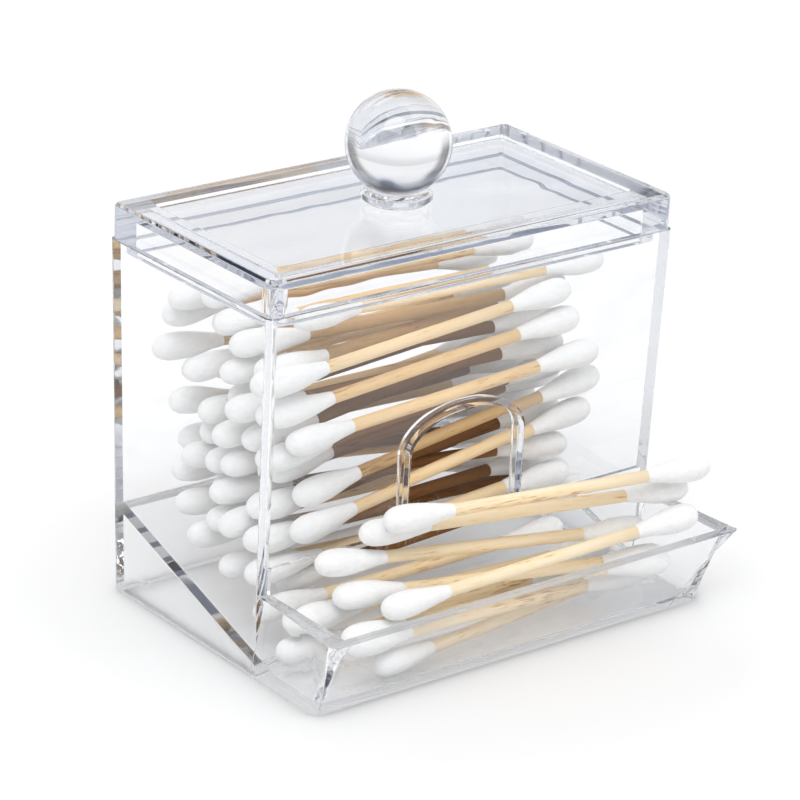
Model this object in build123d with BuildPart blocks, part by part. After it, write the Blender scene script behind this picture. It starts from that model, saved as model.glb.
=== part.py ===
from build123d import *
import math
import os
import random

import numpy as np

# Cotton swab organizer: a clear moulded box with a sloped floor and an open tray in
# front, a lift-off lid with a ball knob, and the cotton swabs that it holds.
# Millimetres. +Z up, the tray faces -Y, origin at the middle of the footprint.

# Driving dimensions of a cotton swab
swab_length = 73.0
stick_diameter = 2.5
bud_diameter = 5.8
bud_length = 15.0
bud_tip_diameter = 2.6
bud_neck_length = 7.5     # the cotton swells over this length from the stick
bud_nose_length = 3.2     # and narrows over this length at its end
bud_wrap = 0.15           # thickness of the cotton where it starts on the stick

# Driving dimensions of the box
swab_end_room = 17.2      # spare length inside the box beside a swab
wall = 2.4
box_depth = 52.0
box_height = 72.0
side_draft = 0.9          # how far each wall leans in at its foot
back_draft = 1.2
front_draft = 2.2
corner_radius = 1.6

# Driving dimensions of the sloped floor, the slot and the finger arch
ramp_back_height = 20.0   # top of the sloped floor at the back wall
ramp_overhang = 4.0       # the slope runs this far out into the tray
slot_height = 22.5        # lower edge of the front wall
slot_passing = 0.8        # how far the slot's cut passes the front wall
arch_width = 27.0
arch_spring_height = 37.5
arch_rise = 7.5
arch_foot_radius = 3.0
arch_lip_width = 1.2
arch_lip_depth = 1.0

# Driving dimensions of the tray
tray_reach = 23.6         # from the mouth of the box to the tray's front rim
tray_foot_reach = 15.0
tray_height = 17.5
tray_flare = 1.8
tray_floor = 2.4

# Driving dimensions of the lid
lid_inset = 0.3           # the lid stands back from the box's outside
lid_height = 7.2
lid_corner_radius = 1.7
lid_edge_bevel = 0.6
recess_corner_radius = 0.8
rim_width = 5.8
recess_depth = 0.7
panel_thickness = 2.4
plug_clearance = 0.35
plug_thickness = 2.5
plug_drop = 2.3

# Driving dimensions of the knob
ball_diameter = 20.4
ball_chords = 9           # straight pieces in the ball's outline, collar to crown
collar_diameter = 13.8
collar_height = 2.8
collar_bevel = 0.8
collar_sides = 24
spigot_diameter = 5.0
spigot_length = 1.4
spigot_clearance = 0.1

# Driving values of the heap of swabs
swab_clearance = 0.15     # smallest gap between two swabs
heap_wall_room = 0.9      # gap between the heap and the front and side walls
heap_headroom = 5.0       # gap between the heap and the mouth of the box
sample_step = 1.2
swab_count = 50           # most swabs in the heap
layer_count = 8
try_count = 160           # places tried for each swab of the heap
heap_turn = 8             # usual turn of a swab in the heap, in degrees
heap_turn_middle = -4     # the heap is shaken a little askew, in degrees
heap_side_share = -0.6    # and most of its swabs lie towards one side wall
heap_tilt = 10            # largest tilt of a swab in the heap, in degrees
tray_tilt = 14            # largest tilt of a swab in the tray, in degrees
tilt_count = 29           # tilts tried for each swab of the tray
side_count = 6            # flat sides of a swab
overrun = 5.0             # how far a cutting shape passes what it cuts

# Places that follow from the driving dimensions
box_width = swab_length + swab_end_room + 2 * wall
front_y = (tray_reach - box_depth) / 2
back_y = front_y + box_depth
box_middle_y = (front_y + back_y) / 2
stick_radius = stick_diameter / 2
bud_radius = bud_diameter / 2
neck_radius = stick_radius + bud_wrap
tip_radius = bud_tip_diameter / 2
stick_length = swab_length - 2 * bud_length


def lean(z, draft):
    """How far a drafted wall stands in from its mouth at height z."""
    return draft * (1 - z / box_height)


def outer_half_width(z):
    return box_width / 2 - lean(z, side_draft)


def outer_front(z):
    return front_y + lean(z, front_draft)


def outer_back(z):
    return back_y - lean(z, back_draft)


# The top of the sloped floor runs straight down from the back wall into the tray.
ramp_foot_y = outer_front(0) - ramp_overhang
ramp_slope = (ramp_back_height - tray_floor) / (back_y - ramp_foot_y)
ramp_angle = math.atan(ramp_slope)
ramp_normal = (0, -math.sin(ramp_angle), math.cos(ramp_angle))
ramp_top = Plane(origin=(0, ramp_foot_y, tray_floor), x_dir=(1, 0, 0), z_dir=ramp_normal)
ramp_under = ramp_top.offset(-wall)

# The tray's front wall leans out from its foot to its rim.
tray_lean = (tray_reach - tray_foot_reach) / tray_height
tray_wall_run = wall * math.sqrt(1 + tray_lean**2)


def tray_front(z):
    return front_y - tray_foot_reach - tray_lean * z


def box_outline(z, inset=0):
    """Plan of the box at height z: rounded outside, square where it is set in by a wall."""
    width = 2 * (outer_half_width(z) - inset)
    depth = outer_back(z) - outer_front(z) - 2 * inset
    middle = (outer_back(z) + outer_front(z)) / 2
    with BuildSketch(Plane.XY.offset(z)) as outline:
        with Locations((0, middle)):
            if inset:
                Rectangle(width, depth)
            else:
                RectangleRounded(width, depth, corner_radius)
    return outline.sketch


def tray_outline(z, flare, back, front, inset=0):
    """Plan of the tray at height z: straight beside the box, then flared to the front."""
    near = outer_half_width(z) - inset
    far = near + flare
    with BuildSketch(Plane.XY.offset(z)) as outline:
        with BuildLine():
            Polyline(
                (-near, back),
                (-near, outer_front(z)),
                (-far, front),
                (far, front),
                (near, outer_front(z)),
                (near, back),
                close=True,
            )
        make_face()
        if not inset:
            fillet(outline.vertices().group_by(Axis.Y)[0], corner_radius)
    return outline.sketch


# Spaces that are cut out of the container
with BuildPart() as box_space:
    add(box_outline(0, wall))
    add(box_outline(box_height, wall))
    loft(ruled=True)
    split(bisect_by=ramp_top, keep=Keep.TOP)

with BuildPart() as foot_space:
    add(box_outline(0, wall))
    add(box_outline(box_height, wall))
    loft(ruled=True)
    split(bisect_by=ramp_under, keep=Keep.BOTTOM)

slot_back = outer_front(slot_height) + wall + slot_passing
with BuildPart() as tray_space:
    add(tray_outline(tray_floor, 0, slot_back, tray_front(tray_floor) + tray_wall_run, wall))
    add(tray_outline(slot_height, 0, slot_back, tray_front(slot_height) + tray_wall_run, wall))
    loft(ruled=True)
    split(bisect_by=ramp_top, keep=Keep.TOP)

# Finger arch in the front wall, with rounded feet where it meets the slot
arch_plane = Plane(origin=(0, front_y, 0), x_dir=(1, 0, 0), z_dir=(0, -1, 0))
leg_height = arch_spring_height - slot_height
with BuildSketch(arch_plane) as arch_outline:
    with Locations((0, slot_height + leg_height / 2)):
        Rectangle(arch_width, leg_height)
    with Locations((0, arch_spring_height)):
        Ellipse(arch_width / 2, arch_rise)
    with Locations((0, slot_height - arch_foot_radius / 2)):
        Rectangle(arch_width + 4 * arch_foot_radius, arch_foot_radius)
    slot_corners = arch_outline.vertices().filter_by(
        lambda corner: abs(corner.Z - slot_height) < arch_lip_width / 2
    )
    feet = slot_corners.filter_by(lambda corner: abs(corner.X) < arch_width / 2 + arch_lip_width)
    fillet(feet, arch_foot_radius)

# A low lip runs round the arch on the inner side of the wall.
lip_plane = Plane(
    origin=(0, outer_front(slot_height) + wall / 2, 0), x_dir=(1, 0, 0), z_dir=(0, 1, 0)
)
with BuildSketch(lip_plane) as lip_outline:
    with Locations((0, -slot_height - leg_height / 2)):
        Rectangle(arch_width + 2 * arch_lip_width, leg_height)
    with Locations((0, -arch_spring_height)):
        Ellipse(arch_width / 2 + arch_lip_width, arch_rise + arch_lip_width)

# Container: box, sloped floor and tray moulded as one piece
with BuildPart() as container:
    add(box_outline(0))
    add(box_outline(box_height))
    loft(ruled=True)
    add(tray_outline(0, 0, outer_front(0) + wall, tray_front(0)))
    add(tray_outline(tray_height, tray_flare, outer_front(0) + wall, tray_front(tray_height)))
    loft(ruled=True)
    add(box_space.part, mode=Mode.SUBTRACT)
    add(foot_space.part, mode=Mode.SUBTRACT)
    add(tray_space.part, mode=Mode.SUBTRACT)
    extrude(lip_outline.sketch, amount=wall / 2 + arch_lip_depth)
    extrude(arch_outline.sketch, amount=-(wall + front_draft + overrun), mode=Mode.SUBTRACT)
container.part.label = "container"

# Lid: a raised rim round a shallow panel, and a plug below that locates it in the box
lid_width = box_width - 2 * lid_inset
lid_depth = box_depth - 2 * lid_inset
recess_width = lid_width - 2 * rim_width
recess_length = lid_depth - 2 * rim_width
lid_top = box_height + lid_height
panel_top = lid_top - recess_depth
panel_bottom = panel_top - panel_thickness
plug_bottom = box_height - plug_drop
plug_inset = wall + lean(plug_bottom, side_draft) + plug_clearance
plug_inset_front = wall + lean(plug_bottom, max(front_draft, back_draft)) + plug_clearance
plug_width = box_width - 2 * plug_inset
plug_depth = box_depth - 2 * plug_inset_front
plug_hollow_width = plug_width - 2 * plug_thickness
plug_hollow_depth = plug_depth - 2 * plug_thickness
lid_plane = Plane.XY.offset(box_height)
with BuildPart() as lid:
    with BuildSketch(lid_plane):
        with Locations((0, box_middle_y)):
            RectangleRounded(lid_width, lid_depth, lid_corner_radius)
    extrude(amount=lid_height)
    chamfer(lid.edges().group_by(Axis.Z)[-1], lid_edge_bevel)
    with BuildSketch(lid_plane):
        with Locations((0, box_middle_y)):
            RectangleRounded(plug_width, plug_depth, lid_corner_radius)
    extrude(amount=-plug_drop)
    with BuildSketch(Plane.XY.offset(lid_top)):
        with Locations((0, box_middle_y)):
            RectangleRounded(recess_width, recess_length, recess_corner_radius)
    extrude(amount=-recess_depth, mode=Mode.SUBTRACT)
    with BuildSketch(Plane.XY.offset(plug_bottom)):
        with Locations((0, box_middle_y)):
            RectangleRounded(plug_hollow_width, plug_hollow_depth, recess_corner_radius)
    extrude(amount=panel_bottom - plug_bottom, mode=Mode.SUBTRACT)
    with Locations((0, box_middle_y, panel_top)):
        Hole(spigot_diameter / 2 + spigot_clearance, depth=spigot_length + spigot_clearance)
lid.part.label = "lid"

# Knob: a solid ball, turned in short chords, on a facetted collar with bevelled edges,
# and a short spigot below that sits in the lid
ball_radius = ball_diameter / 2
collar_radius = collar_diameter / 2
collar_top = panel_top + collar_height
seat_radius = collar_radius - 2 * collar_bevel
seat_angle = math.acos(seat_radius / ball_radius)
ball_height = collar_top + ball_radius * math.sin(seat_angle)
ball_outline = [(0, panel_top + collar_bevel), (seat_radius, panel_top + collar_bevel)]
for step in range(ball_chords):
    angle = (seat_angle + math.pi / 2) * step / ball_chords - seat_angle
    ball_outline.append((ball_radius * math.cos(angle), ball_height + ball_radius * math.sin(angle)))
with BuildPart() as knob:
    with BuildSketch(Plane(origin=(0, box_middle_y, panel_top))):
        RegularPolygon(collar_radius, collar_sides)
    extrude(amount=collar_height)
    bottom_edges = knob.edges().group_by(Axis.Z)[0]
    top_edges = knob.edges().group_by(Axis.Z)[-1]
    chamfer(bottom_edges + top_edges, collar_bevel)
    with Locations((0, box_middle_y, panel_top)):
        Cylinder(spigot_diameter / 2, spigot_length, align=(Align.CENTER, Align.CENTER, Align.MAX))
    with BuildSketch(Plane.XZ.offset(-box_middle_y)):
        with BuildLine():
            Polyline(*ball_outline, (0, ball_height + ball_radius), close=True)
        make_face()
    revolve(axis=Axis((0, box_middle_y, 0), (0, 0, 1)))
knob.part.label = "knob"

# One cotton swab, lying along X with its middle at the origin
with BuildPart() as stick:
    with BuildSketch(Plane.YZ.offset(-stick_length / 2)):
        RegularPolygon(stick_radius, side_count)
    extrude(amount=stick_length)
flat_share = math.cos(math.pi / side_count)
with BuildPart() as bud_pair:
    with BuildSketch(Plane.YZ.offset(stick_length / 2)):
        RegularPolygon(bud_radius, side_count)
    extrude(amount=bud_length)
    neck = bud_pair.faces().sort_by(Axis.X)[0]
    chamfer(neck.edges(), (bud_radius - neck_radius) * flat_share, bud_neck_length, reference=neck)
    nose = bud_pair.faces().sort_by(Axis.X)[-1]
    chamfer(nose.edges(), (bud_radius - tip_radius) * flat_share, bud_nose_length, reference=nose)
    mirror(about=Plane.YZ)

# A swab's thickness at points along it, used to lay the swabs without overlaps
sample_count = math.ceil(swab_length / sample_step) + 1
sample_places = np.linspace(-swab_length / 2, swab_length / 2, sample_count)
bud_start = stick_length / 2
bud_places = (bud_start, bud_start + bud_neck_length, swab_length / 2 - bud_nose_length, swab_length / 2)
bud_radii = (neck_radius, bud_radius, bud_radius, tip_radius)
sample_radii = np.interp(np.abs(sample_places), bud_places, bud_radii, left=stick_radius)


def ramp_height(y):
    return tray_floor + ramp_slope * (y - ramp_foot_y)


def sample_points(x, y, yaw, pitch):
    """Points along a swab whose middle is at (x, y, 0)."""
    along = sample_places * math.cos(pitch)
    across = (x + along * math.cos(yaw), y + along * math.sin(yaw))
    return np.column_stack((*across, sample_places * math.sin(pitch)))


def lift_over_swabs(points, laid_points, laid_radii):
    """Height that clears the swabs already laid."""
    if not len(laid_points):
        return -math.inf
    apart = points[:, None, :2] - laid_points[None, :, :2]
    reach = sample_radii[:, None] + laid_radii[None, :] + swab_clearance
    room = reach**2 - (apart**2).sum(axis=2)
    meets = room > 0
    if not meets.any():
        return -math.inf
    rise = laid_points[None, :, 2] + np.sqrt(np.where(meets, room, 0)) - points[:, None, 2]
    return rise[meets].max()


def heap_lift(points, laid_points, laid_radii):
    """Height at which a swab comes to rest in the box, or None where a wall is in the way."""
    foot_half_width = outer_half_width(0) - wall - heap_wall_room
    if (np.abs(points[:, 0]) + sample_radii).max() > foot_half_width:
        return None
    if (points[:, 1] + sample_radii).max() > outer_back(0) - wall - swab_clearance:
        return None
    if (points[:, 1] - sample_radii).min() < outer_front(0) + wall + heap_wall_room:
        return None
    rest = ramp_height(points[:, 1]) + (sample_radii + swab_clearance) / math.cos(ramp_angle)
    return max((rest - points[:, 2]).max(), lift_over_swabs(points, laid_points, laid_radii))


def tray_lift(points, laid_points, laid_radii):
    """Height at which a swab comes to rest in the tray, on its floor, walls or rim."""
    reach = sample_radii + swab_clearance
    floor_rest = np.maximum(tray_floor + reach, ramp_height(points[:, 1]) + reach / math.cos(ramp_angle))
    rim_rest = tray_height + reach
    lean_length = math.sqrt(1 + tray_lean**2)
    wall_foot = front_y - tray_foot_reach + tray_wall_run
    wall_rest = np.minimum((reach * lean_length - points[:, 1] + wall_foot) / tray_lean, rim_rest)
    over_side = np.abs(points[:, 0]) + reach > outer_half_width(0) - wall
    side_rest = np.where(over_side, rim_rest, floor_rest)
    rest = np.maximum(np.maximum(floor_rest, wall_rest), side_rest)
    lift = max((rest - points[:, 2]).max(), lift_over_swabs(points, laid_points, laid_radii))
    heights = points[:, 2] + lift
    under_wall = points[:, 1] + reach > outer_front(heights)
    if (under_wall & (heights + reach > slot_height)).any():
        return None
    return lift


def lay(laid, x, y, yaw, pitch, lift):
    points = sample_points(x, y, yaw, pitch)
    points[:, 2] += lift
    laid["points"] = np.vstack((laid["points"], points))
    laid["radii"] = np.concatenate((laid["radii"], sample_radii))
    along = (math.cos(pitch) * math.cos(yaw), math.cos(pitch) * math.sin(yaw), math.sin(pitch))
    up = (-math.sin(pitch) * math.cos(yaw), -math.sin(pitch) * math.sin(yaw), math.cos(pitch))
    return Plane(origin=(x, y, lift), x_dir=along, z_dir=up).location


# Heap in the box: each swab takes the lowest of many random places.
laid = {"points": np.zeros((0, 3)), "radii": np.zeros(0)}
chance = random.Random(7)
heap_play = swab_end_room / 2 - side_draft - heap_wall_room
heap = []
while len(heap) < swab_count:
    places = []
    for attempt in range(try_count):
        x = chance.triangular(-heap_play, heap_play, heap_side_share * heap_play)
        y = chance.uniform(outer_front(0), outer_back(0))
        yaw = math.radians(chance.gauss(heap_turn_middle, heap_turn))
        pitch = math.radians(chance.uniform(-heap_tilt, heap_tilt))
        points = sample_points(x, y, yaw, pitch)
        lift = heap_lift(points, laid["points"], laid["radii"])
        if lift is not None and (points[:, 2] + sample_radii).max() + lift < box_height - heap_headroom:
            places.append((lift, x, y, yaw, pitch))
    if not places:
        break
    lift, x, y, yaw, pitch = min(places)
    heap.append(lay(laid, x, y, yaw, pitch, lift))

# Swabs in the tray, lowest first: shares of the play along X and of the tray's reach
# from the box, and the turn in degrees. Each is tilted so that it lies lowest.
tray_place_shares = (
    (-0.72, 0.02, 1),
    (0.56, 0.32, 7),
    (-0.14, 0.44, 2),
    (-0.53, 0.13, -3),
    (0.14, 0.41, -8),
    (0.81, 0.61, -3),
    (-0.12, 0.27, -7),
    (0.88, 0.35, -7),
    (1.12, 0.52, -6),
)
tray_play = swab_end_room / 2
tray_swabs = []
for x_share, reach_share, turn in tray_place_shares:
    x = x_share * tray_play
    y = front_y - reach_share * tray_reach
    yaw = math.radians(turn)
    places = []
    for tilt in np.linspace(-tray_tilt, tray_tilt, tilt_count):
        pitch = math.radians(tilt)
        points = sample_points(x, y, yaw, pitch)
        lift = tray_lift(points, laid["points"], laid["radii"])
        if lift is not None:
            places.append((lift, pitch))
    if places:
        lift, pitch = min(places)
        tray_swabs.append(lay(laid, x, y, yaw, pitch, lift))


def place_copies(shape, locations, label):
    with BuildPart() as group:
        with Locations(*locations):
            add(shape.part)
    group.part.label = label
    return group.part


parts = [container.part, lid.part, knob.part]
for number, location in enumerate(tray_swabs, start=1):
    parts.append(place_copies(stick, [location], f"tray_swab_{number}_stick"))
    parts.append(place_copies(bud_pair, [location], f"tray_swab_{number}_buds"))
heap.sort(key=lambda location: location.position.Z)
for number in range(layer_count):
    layer = heap[len(heap) * number // layer_count : len(heap) * (number + 1) // layer_count]
    if layer:
        parts.append(place_copies(stick, layer, f"heap_layer_{number + 1}_sticks"))
        parts.append(place_copies(bud_pair, layer, f"heap_layer_{number + 1}_buds"))

os.makedirs("parts", exist_ok=True)
for part in parts:
    export_step(part, f"parts/{part.label}.step")
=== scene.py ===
import math
import random

import bmesh
import bpy
import numpy as np
from mathutils import Matrix, Vector, noise


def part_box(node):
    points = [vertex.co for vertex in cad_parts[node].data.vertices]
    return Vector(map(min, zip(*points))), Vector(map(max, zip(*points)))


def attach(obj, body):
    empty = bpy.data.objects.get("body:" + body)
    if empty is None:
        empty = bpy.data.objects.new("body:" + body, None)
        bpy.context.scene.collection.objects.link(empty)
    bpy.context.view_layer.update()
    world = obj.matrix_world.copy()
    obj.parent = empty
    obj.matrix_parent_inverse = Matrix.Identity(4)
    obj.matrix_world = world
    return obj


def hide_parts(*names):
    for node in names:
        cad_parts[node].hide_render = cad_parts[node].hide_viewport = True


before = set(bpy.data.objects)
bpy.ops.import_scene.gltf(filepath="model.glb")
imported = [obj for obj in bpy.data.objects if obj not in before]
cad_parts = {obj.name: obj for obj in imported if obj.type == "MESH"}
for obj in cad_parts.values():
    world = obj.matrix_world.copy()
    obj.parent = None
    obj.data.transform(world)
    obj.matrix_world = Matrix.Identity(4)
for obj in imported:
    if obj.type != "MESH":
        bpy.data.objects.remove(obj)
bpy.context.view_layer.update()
print("frame loaded:", len(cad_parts), "nodes")

mm = 0.001
mergeWithin = 0.001 * mm               # points nearer than this are one point

# Camera, fitted to the photograph's own frame
cameraSetup = {
    "place": (-0.40526, -0.50706, 0.30462),
    "right": (0.7870, -0.6154, 0.0429),
    "up": (0.1986, 0.3185, 0.9269),
    "back": (-0.5841, -0.7210, 0.3729),
    "lens": 165.84,
    "sensor": 36.0,
    "shift": (-0.0621, -0.0098),
    "nearest": 0.02,
    "farthest": 20.0,
}


def makeCamera(setup):
    data = bpy.data.cameras.new("photoCamera")
    data.lens = setup["lens"]
    data.sensor_width = setup["sensor"]
    data.shift_x, data.shift_y = setup["shift"]
    data.clip_start = setup["nearest"]
    data.clip_end = setup["farthest"]
    camera = bpy.data.objects.new("photoCamera", data)
    camera.rotation_mode = "QUATERNION"
    turn = Matrix((setup["right"], setup["up"], setup["back"])).transposed()
    camera.rotation_quaternion = turn.to_quaternion()
    camera.location = setup["place"]
    bpy.context.scene.collection.objects.link(camera)
    bpy.context.scene.camera = camera


makeCamera(cameraSetup)
print("camera placed")


# Small helpers for node trees and for finished pieces
def addNode(tree, kind, sockets=None, **settings):
    node = tree.nodes.new(kind)
    for name, value in settings.items():
        setattr(node, name, value)
    for name, value in (sockets or {}).items():
        node.inputs[name].default_value = value
    return node


def newMaterial(name):
    material = bpy.data.materials.new(name)
    material.use_nodes = True
    material.node_tree.nodes.clear()
    return material, material.node_tree


def rampOf(tree, stops):
    ramp = addNode(tree, "ShaderNodeValToRGB")
    elements = ramp.color_ramp.elements
    while len(elements) < len(stops):
        elements.new(0.5)
    for element, (place, colour) in zip(elements, stops):
        element.position = place
        element.color = (*colour, 1)
    return ramp


def finishPiece(bm, name, material, smooth=True):
    bm.normal_update()
    mesh = bpy.data.meshes.new(name)
    bm.to_mesh(mesh)
    bm.free()
    for face in mesh.polygons:
        face.use_smooth = smooth
    mesh.materials.append(material)
    piece = bpy.data.objects.new(name, mesh)
    bpy.context.scene.collection.objects.link(piece)
    return piece


def standFor(piece, node, body):
    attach(piece, body)
    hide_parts(node)


# Moulding marks of all clear pieces: a faint flow in the surface and slightly uneven polish
mouldLook = {
    "flow": {"Detail": 1.0, "Roughness": 0.4, "Distortion": 0.8},
    "polish": {"Scale": 60.0, "Detail": 3.0},
    "polishSpread": {"From Min": 0.3, "From Max": 0.7},
}


def makeMouldGroup(look):
    tree = bpy.data.node_groups.new("mouldMarks", "ShaderNodeTree")
    for name in ("Flow Scale", "Lowest Roughness", "Highest Roughness"):
        tree.interface.new_socket(name, in_out="INPUT", socket_type="NodeSocketFloat")
    for name in ("Height", "Roughness"):
        tree.interface.new_socket(name, in_out="OUTPUT", socket_type="NodeSocketFloat")
    inputs = addNode(tree, "NodeGroupInput")
    outputs = addNode(tree, "NodeGroupOutput")
    place = addNode(tree, "ShaderNodeTexCoord")
    flow = addNode(tree, "ShaderNodeTexNoise", look["flow"])
    polish = addNode(tree, "ShaderNodeTexNoise", look["polish"])
    spread = addNode(tree, "ShaderNodeMapRange", look["polishSpread"])
    links = tree.links
    links.new(place.outputs["Object"], flow.inputs["Vector"])
    links.new(place.outputs["Object"], polish.inputs["Vector"])
    links.new(inputs.outputs["Flow Scale"], flow.inputs["Scale"])
    links.new(polish.outputs["Fac"], spread.inputs["Value"])
    links.new(inputs.outputs["Lowest Roughness"], spread.inputs["To Min"])
    links.new(inputs.outputs["Highest Roughness"], spread.inputs["To Max"])
    links.new(flow.outputs["Fac"], outputs.inputs["Height"])
    links.new(spread.outputs["Result"], outputs.inputs["Roughness"])
    return tree


mouldMarks = makeMouldGroup(mouldLook)

# Clear acrylic of each piece
containerAcrylic = {
    "tint": (0.982, 0.985, 0.990),
    "edges": ((0.72, 1.0), (1.0, 0.33)),   # painted dark edges, from face on to edge on: how much light is left
    "depthTint": (0.30, 0.34, 0.42),   # colour of light that has gone far through it
    "depth": 7.5,                      # how soon that happens
    "flowScale": 38.0,
    "flowStrength": 0.14,
    "polish": (0.0, 0.03),
    "shade": (0.988, 0.989, 0.99),     # what its shadow lets through, for each face
    "footShade": (0.10, 0.10, 0.105),  # the same for the sides of its foot
    "footFadesFrom": 1.8 * mm,         # height where that shadow starts to fade
    "footHeight": 4.5 * mm,            # and where it ends
    "levelFrom": 0.6,                  # a surface turned up or down more than this casts none
    "swirlHeight": 5.0 * mm,           # below this the moulded surface is swirled
    "swirlScale": 85.0,
    "swirlTwist": 1.2,
    "swirlDepth": 8.0,
}
lidAcrylic = {
    "tint": (0.972, 0.976, 0.986),
    # painted dark edges, from face on to edge on, as on the container
    "edges": ((0.72, 1.0), (1.0, 0.33)),
    "depthTint": (0.30, 0.34, 0.46),
    "depth": 8.0,
    "flowScale": 34.0,
    "flowStrength": 0.22,
    "polish": (0.0, 0.03),
    "shade": (0.988, 0.989, 0.99),
}
knobAcrylic = {
    "tint": (0.975, 0.980, 0.990),
    # painted dark crescents on the ball's sides, a painted reflection, from face on to edge on
    "edges": ((0.34, 1.0), (0.44, 0.20), (0.62, 0.05), (0.69, 0.9), (0.76, 1.0), (0.85, 0.12)),
    "paintedDarkMiddle": -0.12,              # its painted dark sides, a painted reflection of the dark studio, are darkest where they face a little down
    "paintedDarkFade": (0.22, 0.48),
    "depthTint": (0.40, 0.44, 0.52),
    "depth": 4.0,
    "flowScale": 105.0,
    "flowStrength": 0.55,
    "polish": (0.0, 0.02),
    "shade": (0.94, 0.945, 0.955),
}
acrylicIndex = 1.49
flowDepth = 0.6 * mm                   # height of the moulding marks at full strength
paintedEdgeExtra = 0.04                       # how much more a painted dark edge is darkened than its share says
deepestRay = 11.0                      # past this many turns in the acrylic a ray goes straight on


# The ball's painted dark sides, a painted reflection of the dark studio, fade out towards its crown
# and its foot
def fadePaintedSides(tree, look, tintAndPaintedEdges, clear):
    turned = addNode(tree, "ShaderNodeNewGeometry")
    turnedParts = addNode(tree, "ShaderNodeSeparateXYZ")
    fromMiddle = addNode(tree, "ShaderNodeMath", {1: look["paintedDarkMiddle"]}, operation="SUBTRACT")
    eitherWay = addNode(tree, "ShaderNodeMath", operation="ABSOLUTE")
    fade = addNode(tree, "ShaderNodeMapRange", {
        "From Min": look["paintedDarkFade"][0], "From Max": look["paintedDarkFade"][1],
    })
    plain = addNode(tree, "ShaderNodeMix", {"B": (*look["tint"], 1)}, data_type="RGBA")
    links = tree.links
    links.new(turned.outputs["Normal"], turnedParts.inputs[0])
    links.new(turnedParts.outputs["Z"], fromMiddle.inputs[0])
    links.new(fromMiddle.outputs[0], eitherWay.inputs[0])
    links.new(eitherWay.outputs[0], fade.inputs["Value"])
    links.new(fade.outputs["Result"], plain.inputs["Factor"])
    links.new(tintAndPaintedEdges.outputs["Color"], plain.inputs["A"])
    links.new(plain.outputs["Result"], clear.inputs["Base Color"])


# Foot of the container: its upright sides keep light off the floor, and its surface is swirled
def addFoot(tree, look, marks, bump, passing):
    place = addNode(tree, "ShaderNodeTexCoord")
    parts = addNode(tree, "ShaderNodeSeparateXYZ")
    aboveFoot = addNode(tree, "ShaderNodeMapRange", {
        "From Min": look["footFadesFrom"], "From Max": look["footHeight"],
    })
    turned = addNode(tree, "ShaderNodeNewGeometry")
    turnedParts = addNode(tree, "ShaderNodeSeparateXYZ")
    upOrDown = addNode(tree, "ShaderNodeMath", operation="ABSOLUTE")
    level = addNode(tree, "ShaderNodeMath", {1: look["levelFrom"]}, operation="GREATER_THAN")
    clearShare = addNode(tree, "ShaderNodeMath", operation="MAXIMUM")
    shades = rampOf(tree, [(0.0, look["footShade"]), (1.0, look["shade"])])
    swirl = addNode(tree, "ShaderNodeTexNoise", {
        "Scale": look["swirlScale"], "Detail": 0.0, "Distortion": look["swirlTwist"],
    })
    swirlHeights = addNode(tree, "ShaderNodeMapRange", {
        "From Min": 0.0, "From Max": look["swirlHeight"], "To Min": look["swirlDepth"], "To Max": 0.0,
    })
    heights = addNode(tree, "ShaderNodeMath", operation="MULTIPLY_ADD")
    links = tree.links
    links.new(place.outputs["Object"], parts.inputs[0])
    links.new(place.outputs["Object"], swirl.inputs["Vector"])
    links.new(parts.outputs["Z"], aboveFoot.inputs["Value"])
    links.new(parts.outputs["Z"], swirlHeights.inputs["Value"])
    links.new(turned.outputs["Normal"], turnedParts.inputs[0])
    links.new(turnedParts.outputs["Z"], upOrDown.inputs[0])
    links.new(upOrDown.outputs[0], level.inputs[0])
    links.new(level.outputs[0], clearShare.inputs[0])
    links.new(aboveFoot.outputs["Result"], clearShare.inputs[1])
    links.new(clearShare.outputs[0], shades.inputs["Fac"])
    links.new(shades.outputs["Color"], passing.inputs["Color"])
    links.new(swirl.outputs["Fac"], heights.inputs[0])
    links.new(swirlHeights.outputs["Result"], heights.inputs[1])
    links.new(marks.outputs["Height"], heights.inputs[2])
    links.new(heights.outputs[0], bump.inputs["Height"])


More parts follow.
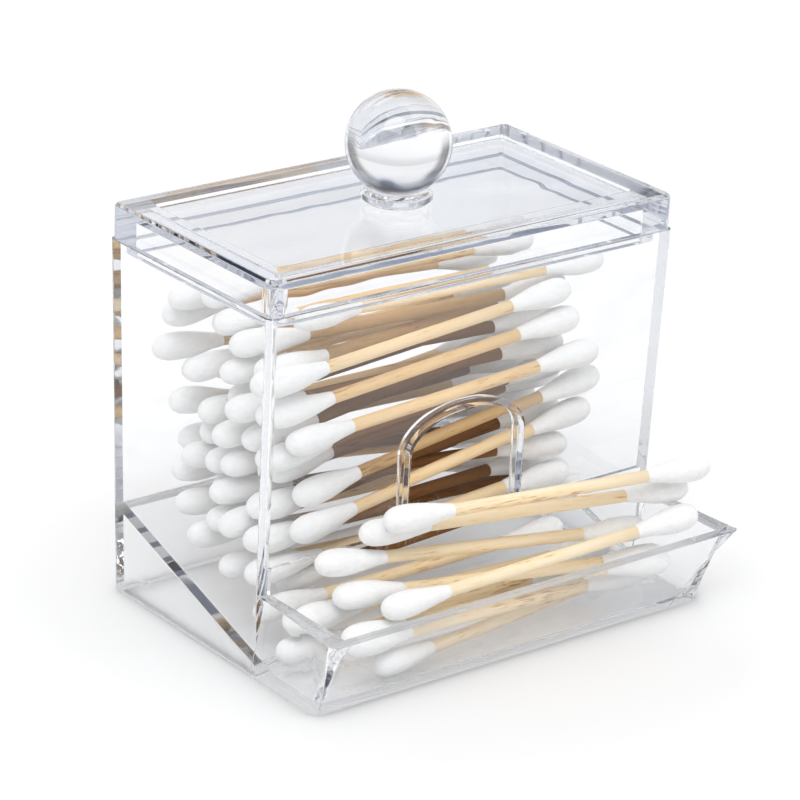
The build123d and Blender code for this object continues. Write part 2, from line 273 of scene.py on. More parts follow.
def makeAcrylic(name, look):
    material, tree = newMaterial(name)
    marks = addNode(tree, "ShaderNodeGroup", node_tree=mouldMarks)
    marks.inputs["Flow Scale"].default_value = look["flowScale"]
    marks.inputs["Lowest Roughness"].default_value = look["polish"][0]
    marks.inputs["Highest Roughness"].default_value = look["polish"][1]
    bump = addNode(tree, "ShaderNodeBump", {"Strength": look["flowStrength"], "Distance": flowDepth})
    clear = addNode(tree, "ShaderNodeBsdfPrincipled", {
        "IOR": acrylicIndex, "Transmission Weight": 1.0,
    })
    facing = addNode(tree, "ShaderNodeLayerWeight", {"Blend": 0.5})
    # Painted dark edges: the glass colour darkens from face on to edge on, standing in for the dark
    # studio seen in real glass edges.
    tintAndPaintedEdges = rampOf(tree, [
        (place, tuple(share * (1 - paintedEdgeExtra + paintedEdgeExtra * share) * part for part in look["tint"]))
        for place, share in look["edges"]
    ])
    # Shadows, soft bounced light and rays that have turned too often go straight through, so
    # that what the box holds stays lit.
    rays = addNode(tree, "ShaderNodeLightPath")
    soft = addNode(tree, "ShaderNodeMath", operation="MAXIMUM")
    deep = addNode(tree, "ShaderNodeMath", {1: deepestRay}, operation="GREATER_THAN")
    straight = addNode(tree, "ShaderNodeMath", operation="MAXIMUM")
    passing = addNode(tree, "ShaderNodeBsdfTransparent", {"Color": (*look["shade"], 1)})
    mix = addNode(tree, "ShaderNodeMixShader")
    body = addNode(tree, "ShaderNodeVolumeAbsorption", {
        "Color": (*look["depthTint"], 1), "Density": look["depth"],
    })
    out = addNode(tree, "ShaderNodeOutputMaterial")
    links = tree.links
    links.new(body.outputs[0], out.inputs["Volume"])
    links.new(facing.outputs["Facing"], tintAndPaintedEdges.inputs["Fac"])
    links.new(tintAndPaintedEdges.outputs["Color"], clear.inputs["Base Color"])
    if "paintedDarkFade" in look:
        fadePaintedSides(tree, look, tintAndPaintedEdges, clear)
    if "footShade" in look:
        addFoot(tree, look, marks, bump, passing)
    else:
        links.new(marks.outputs["Height"], bump.inputs["Height"])
    links.new(marks.outputs["Roughness"], clear.inputs["Roughness"])
    links.new(bump.outputs["Normal"], clear.inputs["Normal"])
    links.new(rays.outputs["Is Shadow Ray"], soft.inputs[0])
    links.new(rays.outputs["Is Diffuse Ray"], soft.inputs[1])
    links.new(rays.outputs["Ray Depth"], deep.inputs[0])
    links.new(soft.outputs[0], straight.inputs[0])
    links.new(deep.outputs[0], straight.inputs[1])
    links.new(straight.outputs[0], mix.inputs[0])
    links.new(clear.outputs[0], mix.inputs[1])
    links.new(passing.outputs[0], mix.inputs[2])
    links.new(mix.outputs[0], out.inputs["Surface"])
    return material


# Container and lid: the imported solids, merged, with every edge slightly rounded
containerLook = {
    "weld": 0.06 * mm,                 # points this near are merged before the rounding
    "flatTo": 1.0,                     # faces that turn less than this, in degrees, become one
    "sharpFrom": 40,                   # edges that turn more than this are rounded
    "shortest": 1.5 * mm,              # but none shorter than this
    "edge": 0.28 * mm,
    "segments": 3,
    "clamped": False,
    "leftover": 0.004 * mm,            # points this near are merged after the rounding
    "smoothTo": 35,                    # faces that turn less than this shade as one surface
    "broadArea": 30 * mm * mm,         # from this size on a face shades flat
}
lidLook = {
    "weld": 0.001 * mm,
    "flatTo": 0.6,
    "sharpFrom": 25,
    "shortest": 0.0,
    "edge": 0.35 * mm,
    "segments": 3,
    "clamped": True,
    "leftover": 0.004 * mm,
    "smoothTo": 35,
    "broadArea": 30 * mm * mm,
    "seatWithin": 0.01 * mm,           # points this near the box's mouth are the lid's seat
    "gap": 0.05 * mm,                  # which is lifted off it by this much
}


def roundedCopy(nodeName, look):
    bm = bmesh.new()
    bm.from_mesh(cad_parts[nodeName].data)
    bmesh.ops.remove_doubles(bm, verts=bm.verts, dist=mergeWithin)
    for weld in (0, look["weld"]):
        bmesh.ops.remove_doubles(bm, verts=bm.verts, dist=weld)
        bmesh.ops.dissolve_limit(
            bm, angle_limit=math.radians(look["flatTo"]), verts=bm.verts, edges=bm.edges,
            delimit={"NORMAL"},
        )
    sharp = [
        edge for edge in bm.edges
        if len(edge.link_faces) == 2 and edge.calc_length() > look["shortest"]
        and edge.calc_face_angle(0) > math.radians(look["sharpFrom"])
    ]
    bmesh.ops.bevel(
        bm, geom=sharp, affect="EDGES", offset=look["edge"], offset_type="OFFSET",
        segments=look["segments"], profile=0.5, material=-1, clamp_overlap=look["clamped"],
    )
    # No face without area is left where small bevels meet.
    bmesh.ops.remove_doubles(bm, verts=bm.verts, dist=look["leftover"])
    bmesh.ops.dissolve_degenerate(bm, edges=bm.edges, dist=mergeWithin)
    return bm


def keepWallsFlat(piece, look):
    # A broad face keeps its own normal, and the small faces that round it off start from it.
    mesh = piece.data
    limit = math.cos(math.radians(look["smoothTo"]))
    around = [[] for vert in mesh.vertices]
    for face in mesh.polygons:
        for vert in face.vertices:
            around[vert].append(face)
    normals = []
    for face in mesh.polygons:
        for vert in face.vertices:
            near = [other for other in around[vert] if other.normal.dot(face.normal) > limit]
            widest = max(near, key=lambda other: other.area)
            if face.area > look["broadArea"]:
                normal = face.normal.copy()
            elif widest.area > look["broadArea"]:
                normal = widest.normal.copy()
            else:
                normal = sum((other.normal * other.area for other in near), Vector())
            normals.append(normal.normalized())
    mesh.normals_split_custom_set(normals)


bm = roundedCopy("container", containerLook)
container = finishPiece(bm, "clearContainer", makeAcrylic("clearAcrylicContainer", containerAcrylic))
keepWallsFlat(container, containerLook)
standFor(container, "container", "container")
print("container made")

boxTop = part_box("container")[1].z
bm = roundedCopy("lid", lidLook)
for vert in bm.verts:
    if abs(vert.co.z - boxTop) < lidLook["seatWithin"]:
        vert.co.z += lidLook["gap"]
lid = finishPiece(bm, "clearLid", makeAcrylic("clearAcrylicLid", lidAcrylic))
keepWallsFlat(lid, lidLook)
standFor(lid, "lid", "lid")
print("lid made")

# Knob: a ball on a bevelled collar, turned from one outline
knobLook = {
    "ballRadius": 10.2 * mm,
    "collarRadius": 6.9 * mm,
    "collarHeight": 2.8 * mm,
    "collarBevel": 0.8 * mm,
    "spigotRadius": 2.5 * mm,
    "spigotLength": 1.4 * mm,
    "seatGap": 0.03 * mm,
    "edge": 0.18 * mm,
    "edgeSteps": 3,
    "crispFrom": 24,                   # edges that turn more than this, in degrees, shade crisp
    "arcSteps": 56,
    "turnSteps": 96,
}


def makeKnob(look):
    low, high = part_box("knob")
    middle = Vector(((low.x + high.x) / 2, (low.y + high.y) / 2, 0))
    seatZ = low.z + look["spigotLength"]
    collarTop = seatZ + look["collarHeight"]
    ballZ = high.z - look["ballRadius"]
    bm = bmesh.new()
    crown = bm.verts.new(middle + Vector((0, 0, high.z)))
    seatRadius = look["collarRadius"] - 2 * look["collarBevel"]
    sweep = math.pi - math.asin(seatRadius / look["ballRadius"])
    bmesh.ops.spin(
        bm, geom=[crown], cent=middle + Vector((0, 0, ballZ)), axis=(0, 1, 0),
        angle=sweep, steps=look["arcSteps"],
    )
    # The arc is on either side of the middle, so its last point is the lowest one.
    last = min(bm.verts, key=lambda vert: vert.co.z)
    side = 1 if last.co.x > middle.x else -1
    outline = [
        (look["collarRadius"] - look["collarBevel"], collarTop),
        (look["collarRadius"], collarTop - look["collarBevel"]),
        (look["collarRadius"], seatZ + look["collarBevel"]),
        (look["collarRadius"] - look["collarBevel"], seatZ + look["seatGap"]),
        (look["spigotRadius"], seatZ + look["seatGap"]),
        (look["spigotRadius"], low.z),
        (0, low.z),
    ]
    corners = []
    for radius, z in outline:
        corner = bm.verts.new((middle.x + side * radius, middle.y, z))
        bm.edges.new((last, corner))
        corners.append(corner)
        last = corner
    collarCorners = corners[:4]
    bmesh.ops.bevel(
        bm, geom=collarCorners, affect="VERTICES", offset=look["edge"], offset_type="OFFSET",
        segments=look["edgeSteps"], profile=0.5, material=-1,
    )
    bmesh.ops.spin(
        bm, geom=bm.verts[:] + bm.edges[:], cent=middle, axis=(0, 0, 1),
        angle=2 * math.pi, steps=look["turnSteps"], use_merge=True,
    )
    bmesh.ops.remove_doubles(bm, verts=bm.verts, dist=mergeWithin)
    bmesh.ops.recalc_face_normals(bm, faces=bm.faces)
    return bm


knob = finishPiece(makeKnob(knobLook), "clearKnob", makeAcrylic("clearAcrylicKnob", knobAcrylic))
knob.data.set_sharp_from_angle(angle=math.radians(knobLook["crispFrom"]))
standFor(knob, "knob", "lid")
print("knob made")


# Birch of the sticks, read along each stick's own length
birchLook = {
    "pale": (0.98, 0.84, 0.62),
    "warm": (0.955, 0.755, 0.48),
    "streak": (0.58, 0.36, 0.17),
    # painted shade and tone of a stick by how open it lies: dark brown deep in the heap, where shade
    # falls, to pale clear of it
    "shadeAndTones": (
        (0.0, (0.24, 0.13, 0.055)),
        (0.42, (0.93, 0.78, 0.58)),
        (0.80, (1.0, 0.97, 0.92)),
        (1.0, (1.0, 1.0, 1.0)),
    ),
    "colourPlaces": (0.37, 0.43, 0.55),    # of streak, warm and pale in the pattern
    "grainStretch": (240.0, 2600.0, 2600.0),
    "grain": {"Scale": 1.0, "Detail": 4.0, "Roughness": 0.6},
    "grainShare": 0.55,
    "bandStretch": (40.0, 300.0, 300.0),
    "bands": {"Scale": 1.0, "Detail": 2.0},
    "bandShare": 0.45,
    "relief": {"Strength": 0.35, "Distance": 0.08 * mm},
    "finish": {"Roughness": 0.62, "Specular IOR Level": 0.3},
}


def makeBirch(look):
    material, tree = newMaterial("birchStick")
    links = tree.links
    place = addNode(tree, "ShaderNodeAttribute", attribute_name="swabCoord")
    shadeToneNode = addNode(tree, "ShaderNodeAttribute", attribute_name="swabShadeAndTone")
    along = addNode(tree, "ShaderNodeMapping", {"Scale": look["grainStretch"]})
    grain = addNode(tree, "ShaderNodeTexNoise", look["grain"])
    wide = addNode(tree, "ShaderNodeMapping", {"Scale": look["bandStretch"]})
    bands = addNode(tree, "ShaderNodeTexNoise", look["bands"])
    colours = (look["streak"], look["warm"], look["pale"])
    grainColour = rampOf(tree, list(zip(look["colourPlaces"], colours)))
    shadedWood = addNode(tree, "ShaderNodeMix", data_type="RGBA", blend_type="MULTIPLY")
    # painted shade: sticks deep in the heap are multiplied towards dark brown, open ones keep their
    # random tone
    shades = rampOf(tree, look["shadeAndTones"])
    grainPart = addNode(tree, "ShaderNodeMath", {1: look["grainShare"]}, operation="MULTIPLY")
    pattern = addNode(tree, "ShaderNodeMath", {1: look["bandShare"]}, operation="MULTIPLY_ADD")
    bump = addNode(tree, "ShaderNodeBump", look["relief"])
    wood = addNode(tree, "ShaderNodeBsdfPrincipled", look["finish"])
    out = addNode(tree, "ShaderNodeOutputMaterial")
    links.new(place.outputs["Vector"], along.inputs["Vector"])
    links.new(along.outputs["Vector"], grain.inputs["Vector"])
    links.new(place.outputs["Vector"], wide.inputs["Vector"])
    links.new(wide.outputs["Vector"], bands.inputs["Vector"])
    links.new(bands.outputs["Fac"], pattern.inputs[0])
    links.new(grain.outputs["Fac"], grainPart.inputs[0])
    links.new(grainPart.outputs[0], pattern.inputs[2])
    links.new(pattern.outputs[0], grainColour.inputs["Fac"])
    links.new(shadeToneNode.outputs["Fac"], shades.inputs["Fac"])
    shadedWood.inputs["Factor"].default_value = 1.0
    links.new(grainColour.outputs["Color"], shadedWood.inputs["A"])
    links.new(shades.outputs["Color"], shadedWood.inputs["B"])
    links.new(shadedWood.outputs["Result"], wood.inputs["Base Color"])
    links.new(grain.outputs["Fac"], bump.inputs["Height"])
    links.new(bump.outputs["Normal"], wood.inputs["Normal"])
    links.new(wood.outputs[0], out.inputs["Surface"])
    return material


# Cotton of the buds, with a fine nap wound round each one
cottonLook = {
    "white": (0.94, 0.94, 0.935),
    "hollowShade": (0.885, 0.88, 0.87),
    "colourPlaces": (0.32, 0.58),          # of the painted shade in the nap's low hollows, and of white
    "napStretch": (500.0, 900.0, 900.0),
    "nap": {"Scale": 1.4, "Detail": 5.0, "Roughness": 0.65, "Distortion": 0.6},
    "napShare": 0.6,
    "lumps": {"Scale": 420.0, "Detail": 2.0},
    "relief": {"Strength": 0.9, "Distance": 0.32 * mm},
    "finish": {
        "Roughness": 0.95, "Specular IOR Level": 0.1,
        "Sheen Weight": 0.25, "Sheen Roughness": 0.6,
    },
}


def makeCotton(look):
    material, tree = newMaterial("woundCotton")
    links = tree.links
    place = addNode(tree, "ShaderNodeAttribute", attribute_name="swabCoord")
    wound = addNode(tree, "ShaderNodeMapping", {"Scale": look["napStretch"]})
    nap = addNode(tree, "ShaderNodeTexNoise", look["nap"])
    lumps = addNode(tree, "ShaderNodeTexNoise", look["lumps"])
    # painted shade: where the nap lies low the cotton is darker
    shades = rampOf(tree, list(zip(look["colourPlaces"], (look["hollowShade"], look["white"]))))
    heights = addNode(tree, "ShaderNodeMath", {1: look["napShare"]}, operation="MULTIPLY_ADD")
    bump = addNode(tree, "ShaderNodeBump", look["relief"])
    cotton = addNode(tree, "ShaderNodeBsdfPrincipled", look["finish"])
    out = addNode(tree, "ShaderNodeOutputMaterial")
    links.new(place.outputs["Vector"], wound.inputs["Vector"])
    links.new(wound.outputs["Vector"], nap.inputs["Vector"])
    links.new(place.outputs["Vector"], lumps.inputs["Vector"])
    links.new(nap.outputs["Fac"], shades.inputs["Fac"])
    links.new(shades.outputs["Color"], cotton.inputs["Base Color"])
    links.new(nap.outputs["Fac"], heights.inputs[0])
    links.new(lumps.outputs["Fac"], heights.inputs[2])
    links.new(heights.outputs[0], bump.inputs["Height"])
    links.new(bump.outputs["Normal"], cotton.inputs["Normal"])
    links.new(cotton.outputs[0], out.inputs["Surface"])
    return material


birch = makeBirch(birchLook)
cotton = makeCotton(cottonLook)
print("materials made")

# Swabs: each packed stick gives one swab's middle and direction
swabLook = {
    "stickRadius": 1.22 * mm,
    "stickHalf": 29.0 * mm,          # the stick ends inside its buds
    "stickSides": 16,
    "budStart": 21.5 * mm,
    "budLength": 15.0 * mm,
    "budSides": 14,
    # the bud's outline: share of its length, radius in millimetres
    "budOutline": (
        (0.0, 1.26), (0.05, 1.42), (0.15, 1.66), (0.28, 2.02), (0.42, 2.44), (0.56, 2.74),
        (0.70, 2.86), (0.82, 2.76), (0.91, 2.34), (0.97, 1.60), (0.995, 0.80),
    ),
    "fullness": (0.95, 1.0),         # thinnest and thickest bud, as shares of the outline
    "lumpHeight": 0.16 * mm,
    "lumpScale": 260.0,
    "lumpShift": 3,                  # sets the lumps of one swab apart from those of the next
    "lumpMiddle": 0.25,              # the lumps take away a little more than they add
    "lumpsFrom": 0.1,                # share of the bud's length where they begin
    "lumpsOutside": 0.3 * mm,        # and the radius
    "nearby": 9.0 * mm,              # a stick with many others this near lies deep in the heap and gets painted shade
    "fewNear": 2,
    "manyNear": 6,
    "toneSpread": (0.75, 1.0),       # darkest and palest stick, as shares of its tone
}


def readSwabs(nodeName):
    bm = bmesh.new()
    bm.from_mesh(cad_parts[nodeName].data)
    bmesh.ops.remove_doubles(bm, verts=bm.verts, dist=mergeWithin)
    swabs = []
    for first in bm.verts:
        if first.tag:
            continue
        first.tag = True
        island = [first]
        for vert in island:
            for edge in vert.link_edges:
                other = edge.other_vert(vert)
                if not other.tag:
                    other.tag = True
                    island.append(other)
        points = np.array([vert.co for vert in island])
        middle = points.mean(axis=0)
        direction = Vector(np.linalg.svd(points - middle)[2][0])
        if direction.x < 0:
            direction = -direction
        swabs.append((Vector(middle), direction))
    bm.free()
    return swabs


def swabMatrix(middle, direction, roll):
    turn = direction.to_track_quat("X", "Z").to_matrix().to_4x4()
    return Matrix.Translation(middle) @ turn @ Matrix.Rotation(roll, 4, "X")


def tagVerts(bm, verts, shift, shadeToneValue):
    # keeps each point's place on its own swab, for the grain, and its stick's painted shade and tone
    coordLayer = bm.verts.layers.float_vector["swabCoord"]
    shadeToneLayer = bm.verts.layers.float["swabShadeAndTone"]
    for vert in verts:
        vert[coordLayer] = vert.co + shift
        vert[shadeToneLayer] = shadeToneValue


def newSwabMesh():
    bm = bmesh.new()
    bm.verts.layers.float_vector.new("swabCoord")
    bm.verts.layers.float.new("swabShadeAndTone")
    return bm


def addStick(bm, matrix, shift, shadeToneValue, look):
    made = bmesh.ops.create_cone(
        bm, cap_ends=True, segments=look["stickSides"], radius1=look["stickRadius"],
        radius2=look["stickRadius"], depth=2 * look["stickHalf"],
        matrix=Matrix.Rotation(math.pi / 2, 4, "Y"),
    )
    tagVerts(bm, made["verts"], shift, shadeToneValue)
    bmesh.ops.transform(bm, matrix=matrix, verts=made["verts"])


def addBud(bm, matrix, shift, side, look, chance):
    before = set(bm.verts)
    fullness = chance.uniform(*look["fullness"])
    chain = [bm.verts.new((side * look["budStart"], 0, 0))]
    for share, radius in look["budOutline"]:
        x = side * (look["budStart"] + share * look["budLength"])
        chain.append(bm.verts.new((x, 0, radius * fullness * mm)))
    chain.append(bm.verts.new((side * (look["budStart"] + look["budLength"]), 0, 0)))
    edges = [bm.edges.new(pair) for pair in zip(chain, chain[1:])]
    bmesh.ops.spin(
        bm, geom=chain + edges, cent=(0, 0, 0), axis=(1, 0, 0),
        angle=2 * math.pi, steps=look["budSides"], use_merge=True,
    )
    made = [vert for vert in bm.verts if vert not in before]
    bmesh.ops.remove_doubles(bm, verts=made, dist=mergeWithin)
    made = [vert for vert in bm.verts if vert not in before]
    faces = {face for vert in made for face in vert.link_faces}
    bmesh.ops.recalc_face_normals(bm, faces=list(faces))
    tagVerts(bm, made, shift, 1.0)
    start = look["budStart"] + look["lumpsFrom"] * look["budLength"]
    for vert in made:
        across = Vector((0, vert.co.y, vert.co.z))
        if across.length > look["lumpsOutside"] and abs(vert.co.x) > start:
            wave = noise.noise((vert.co + shift * look["lumpShift"]) * look["lumpScale"])
            vert.co += across.normalized() * (wave - look["lumpMiddle"]) * look["lumpHeight"]
    bmesh.ops.transform(bm, matrix=matrix, verts=made)


# How open a stick lies, from 0 deep among the others to 1 clear of them; it sets the stick's painted
# shade
def openness(middle, others, look):
    near = sum((middle - other).yz.length < look["nearby"] for other in others)
    return 1 - min(max((near - look["fewNear"]) / (look["manyNear"] - look["fewNear"]), 0), 1)


def makeSwabs(stickNode, budNode, stickName, budName, chance, others):
    sticks = newSwabMesh()
    buds = newSwabMesh()
    matrices = []
    for middle, direction in readSwabs(stickNode):
        matrix = swabMatrix(middle, direction, chance.uniform(0, 2 * math.pi))
        shift = Vector((chance.uniform(0, 1), chance.uniform(0, 1), chance.uniform(0, 1)))
        # painted shade from how deep the stick lies in the heap, times a random tone
        shadeToneValue = openness(middle, others, swabLook) * chance.uniform(*swabLook["toneSpread"])
        addStick(sticks, matrix, shift, shadeToneValue, swabLook)
        for side in (-1, 1):
            addBud(buds, matrix, shift, side, swabLook, chance)
        matrices.append(matrix)
    stickPiece = finishPiece(sticks, stickName, birch)
    standFor(stickPiece, stickNode, "container")
    budPiece = finishPiece(buds, budName, cotton)
    rounder = budPiece.modifiers.new("softer", "SUBSURF")
    rounder.levels = rounder.render_levels = 1
    standFor(budPiece, budNode, "container")
    return matrices


traySwabs = 9
heapLayers = 8
traySeed = 100
heapSeed = 200

trayMatrices = []
for number in range(1, traySwabs + 1):
    chance = random.Random(traySeed + number)
    trayMatrices += makeSwabs(
        f"tray_swab_{number}_stick", f"tray_swab_{number}_buds",
        f"traySwabStick{number}", f"traySwabBuds{number}", chance, (),
    )
print("tray swabs made")

heapMatrices = []
heapMiddles = [
    middle for number in range(1, heapLayers + 1)
    for middle, direction in readSwabs(f"heap_layer_{number}_sticks")
]
for number in range(1, heapLayers + 1):
    chance = random.Random(heapSeed + number)
    heapMatrices += makeSwabs(
        f"heap_layer_{number}_sticks", f"heap_layer_{number}_buds",
        f"heapSticks{number}", f"heapBuds{number}", chance, heapMiddles,
    )
print("heap of", len(heapMatrices), "swabs made")

# Stray fibres that stand off the cotton
fibreLook = {
    "thickness": 0.016 * mm,
    "trayCount": 60,                   # on each bud
    "heapCount": 14,
    "traySeed": 31,
    "heapSeed": 32,
    "length": (0.6, 2.8),              # shortest and longest, in millimetres
    "along": (0.05, 0.99),             # shares of the bud's length where they stand
    "rooted": 0.96,                    # share of the bud's radius where they start
    "lift": 0.7,                       # how much they head outwards
    "lean": (-0.3, 1.0),               # and along the bud, towards its tip
    "curl": 0.5,
    "turning": 0.45,
    "steps": 4,
    "taper": 0.15,                     # thinner by this share at each step
}


def addFibre(curve, matrix, side, chance, look):
    share = chance.uniform(*look["along"])
    shares, radii = zip(*swabLook["budOutline"])
    radius = float(np.interp(share, shares, radii)) * look["rooted"] * mm
    turn = chance.uniform(0, 2 * math.pi)
    outward = Vector((0, math.cos(turn), math.sin(turn)))
    around = Vector((0, -math.sin(turn), math.cos(turn)))
    x = side * (swabLook["budStart"] + share * swabLook["budLength"])
    point = Vector((x, 0, 0)) + outward * radius
    heading = outward * look["lift"] + around * chance.uniform(-1, 1)
    heading += Vector((side * chance.uniform(*look["lean"]), 0, 0))
    heading.normalize()
    curl = Vector([chance.uniform(-1, 1) for axis in range(3)]) * look["curl"]
    step = chance.uniform(*look["length"]) * mm / look["steps"]
    spline = curve.splines.new("NURBS")
    spline.points.add(look["steps"])
    for number, target in enumerate(spline.points):
        target.co = (*(matrix @ point), 1)
        target.radius = 1.0 - look["taper"] * number
        heading = (heading + curl * look["turning"]).normalized()
        point = point + heading * step
    spline.order_u = 3
    spline.use_endpoint_u = True
    spline.resolution_u = 2


def makeFibres(name, matrices, count, chance, look):
    curve = bpy.data.curves.new(name, "CURVE")
    curve.dimensions = "3D"
    curve.bevel_depth = look["thickness"]
    curve.bevel_resolution = 0
    curve.use_fill_caps = True
    for matrix in matrices:
        for side in (-1, 1):
            for number in range(count):
                addFibre(curve, matrix, side, chance, look)
    holder = bpy.data.objects.new(name, curve)
    bpy.context.scene.collection.objects.link(holder)
    bpy.context.view_layer.update()
    mesh = bpy.data.meshes.new_from_object(holder)
    bpy.data.objects.remove(holder)
    mesh.name = name
    mesh.materials.clear()
    mesh.materials.append(cotton)
    coords = mesh.attributes.new("swabCoord", "FLOAT_VECTOR", "POINT")
    for vert in mesh.vertices:
        coords.data[vert.index].vector = vert.co
    piece = bpy.data.objects.new(name, mesh)
    bpy.context.scene.collection.objects.link(piece)
    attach(piece, "container")


trayChance = random.Random(fibreLook["traySeed"])
heapChance = random.Random(fibreLook["heapSeed"])
makeFibres("trayFibres", trayMatrices, fibreLook["trayCount"], trayChance, fibreLook)
makeFibres("heapFibres", heapMatrices, fibreLook["heapCount"], heapChance, fibreLook)
print("fibres made")

# Floor and backdrop
floorLook = {
    "colour": (0.82, 0.82, 0.822),
    "size": 4.0,
    "nearLift": 0.08,                  # glow that keeps the backdrop white, near the box
    "farLift": 0.20,                   # and away from it
    "liftFrom": 66 * mm,
    "liftTo": 120 * mm,
}


def makeFloor(look):
    material, tree = newMaterial("paleFloor")
    links = tree.links
    paint = addNode(tree, "ShaderNodeBsdfDiffuse", {"Color": (*look["colour"], 1)})
    rays = addNode(tree, "ShaderNodeLightPath")
    seen = addNode(tree, "ShaderNodeMath", operation="MAXIMUM")
    seenOrGloss = addNode(tree, "ShaderNodeMath", operation="MAXIMUM")
    glow = addNode(tree, "ShaderNodeEmission", {"Color": (1, 1, 1, 1)})
    place = addNode(tree, "ShaderNodeTexCoord")
    away = addNode(tree, "ShaderNodeVectorMath", operation="LENGTH")
    lift = addNode(tree, "ShaderNodeMapRange", {
        "From Min": look["liftFrom"], "From Max": look["liftTo"],
        "To Min": look["nearLift"], "To Max": look["farLift"],
    })
    strength = addNode(tree, "ShaderNodeMath", operation="MULTIPLY")
    both = addNode(tree, "ShaderNodeAddShader")
    out = addNode(tree, "ShaderNodeOutputMaterial")
    links.new(rays.outputs["Is Camera Ray"], seen.inputs[0])
    links.new(rays.outputs["Is Transmission Ray"], seen.inputs[1])
    links.new(seen.outputs[0], seenOrGloss.inputs[0])
    links.new(rays.outputs["Is Glossy Ray"], seenOrGloss.inputs[1])
    links.new(place.outputs["Object"], away.inputs[0])
    links.new(away.outputs["Value"], lift.inputs["Value"])
    links.new(lift.outputs["Result"], strength.inputs[1])
    links.new(seenOrGloss.outputs[0], strength.inputs[0])
    links.new(strength.outputs[0], glow.inputs["Strength"])
    links.new(paint.outputs[0], both.inputs[0])
    links.new(glow.outputs[0], both.inputs[1])
    links.new(both.outputs[0], out.inputs["Surface"])
    bm = bmesh.new()
    bmesh.ops.create_grid(bm, x_segments=2, y_segments=2, size=look["size"])
    floor = finishPiece(bm, "paleFloor", material, smooth=False)


makeFloor(floorLook)

# World: even light for the object, white behind it, a studio's greys for the clear edges
worldLook = {
    "fill": 0.74,
    "fillColour": (0.985, 0.99, 1.0),
    # grey of the studio by height, from straight down to straight up
    "studio": (
        (0.0, (0.84, 0.85, 0.87)),
        (0.47, (0.97, 0.975, 0.985)),
        (0.56, (1.0, 1.0, 1.0)),
        (0.63, (0.86, 0.88, 0.92)),
        (0.70, (0.46, 0.50, 0.58)),
        (0.77, (0.13, 0.145, 0.18)),
        (0.84, (0.42, 0.46, 0.53)),
        (0.90, (0.96, 0.965, 0.975)),
        (1.0, (1.0, 1.0, 1.0)),
    ),
    # panels and gaps that stand round the studio
    "stand": {"Scale": 2.3, "Detail": 1.0, "Roughness": 0.4},
    "panels": (
        (0.34, (0.30, 0.33, 0.39)),
        (0.47, (0.78, 0.81, 0.86)),
        (0.56, (1.0, 1.0, 1.0)),
    ),
    "panelsFrom": 0.10,                # height of a direction where they begin
    "panelsFull": 0.30,
}


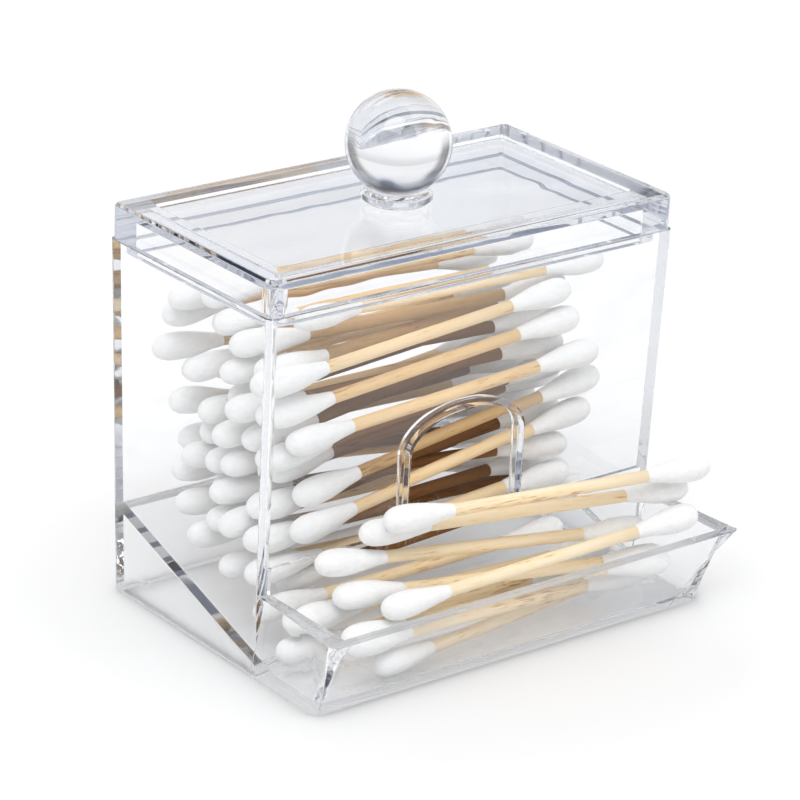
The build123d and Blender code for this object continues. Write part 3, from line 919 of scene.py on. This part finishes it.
def makeWorld(look):
    world = bpy.data.worlds.new("studio")
    bpy.context.scene.world = world
    world.use_nodes = True
    tree = world.node_tree
    tree.nodes.clear()
    links = tree.links
    rays = addNode(tree, "ShaderNodeLightPath")
    fill = addNode(tree, "ShaderNodeBackground", {
        "Color": (*look["fillColour"], 1), "Strength": look["fill"],
    })
    white = addNode(tree, "ShaderNodeBackground", {"Color": (1, 1, 1, 1), "Strength": 1.0})
    studio = addNode(tree, "ShaderNodeBackground", {"Strength": 1.0})
    place = addNode(tree, "ShaderNodeTexCoord")
    parts = addNode(tree, "ShaderNodeSeparateXYZ")
    heightShare = addNode(tree, "ShaderNodeMapRange", {"From Min": -1.0, "From Max": 1.0})
    greys = rampOf(tree, look["studio"])
    stand = addNode(tree, "ShaderNodeTexNoise", look["stand"])
    panels = rampOf(tree, look["panels"])
    above = addNode(tree, "ShaderNodeMapRange", {
        "From Min": look["panelsFrom"], "From Max": look["panelsFull"],
    })
    both = addNode(tree, "ShaderNodeMix", data_type="RGBA", blend_type="MULTIPLY")
    clearRays = addNode(tree, "ShaderNodeMath", operation="MAXIMUM")
    mixClear = addNode(tree, "ShaderNodeMixShader")
    mixSeen = addNode(tree, "ShaderNodeMixShader")
    out = addNode(tree, "ShaderNodeOutputWorld")
    links.new(place.outputs["Generated"], parts.inputs[0])
    links.new(parts.outputs["Z"], heightShare.inputs["Value"])
    links.new(heightShare.outputs["Result"], greys.inputs["Fac"])
    links.new(place.outputs["Generated"], stand.inputs["Vector"])
    links.new(stand.outputs["Fac"], panels.inputs["Fac"])
    links.new(parts.outputs["Z"], above.inputs["Value"])
    links.new(above.outputs["Result"], both.inputs["Factor"])
    links.new(greys.outputs["Color"], both.inputs["A"])
    links.new(panels.outputs["Color"], both.inputs["B"])
    links.new(both.outputs["Result"], studio.inputs["Color"])
    links.new(rays.outputs["Is Glossy Ray"], clearRays.inputs[0])
    links.new(rays.outputs["Is Transmission Ray"], clearRays.inputs[1])
    links.new(clearRays.outputs[0], mixClear.inputs[0])
    links.new(fill.outputs[0], mixClear.inputs[1])
    links.new(studio.outputs[0], mixClear.inputs[2])
    links.new(rays.outputs["Is Camera Ray"], mixSeen.inputs[0])
    links.new(mixClear.outputs[0], mixSeen.inputs[1])
    links.new(white.outputs[0], mixSeen.inputs[2])
    links.new(mixSeen.outputs[0], out.inputs["Surface"])


makeWorld(worldLook)

# Lamps, square and soft
lampLook = {
    "keyLamp": {"place": (-0.35, -0.25, 0.75), "aim": (0, 0, 0.03), "size": 0.50, "power": 2.9},
    "fillLamp": {"place": (0.60, -0.45, 0.45), "aim": (0, 0, 0.03), "size": 0.45, "power": 0.9},
    "backLamp": {"place": (0.10, 0.60, 0.50), "aim": (0, 0, 0.05), "size": 0.40, "power": 0.7},
}


def makeLamp(name, look):
    data = bpy.data.lights.new(name, "AREA")
    data.shape = "SQUARE"
    data.size = look["size"]
    data.energy = look["power"]
    lamp = bpy.data.objects.new(name, data)
    lamp.location = look["place"]
    lamp.rotation_mode = "QUATERNION"
    towards = Vector(look["aim"]) - Vector(look["place"])
    lamp.rotation_quaternion = towards.to_track_quat("-Z", "Y")
    lamp.visible_transmission = False    # no lamp shows as a square through the ball
    bpy.context.scene.collection.objects.link(lamp)


for name, look in lampLook.items():
    makeLamp(name, look)

# Rays turn many times in the clear walls.
scene = bpy.context.scene
scene.view_settings.view_transform = "Standard"
scene.cycles.max_bounces = 32
scene.cycles.diffuse_bounces = 3
scene.cycles.transmission_bounces = 28
scene.cycles.glossy_bounces = 20
scene.cycles.transparent_max_bounces = 24
print("light and floor made")
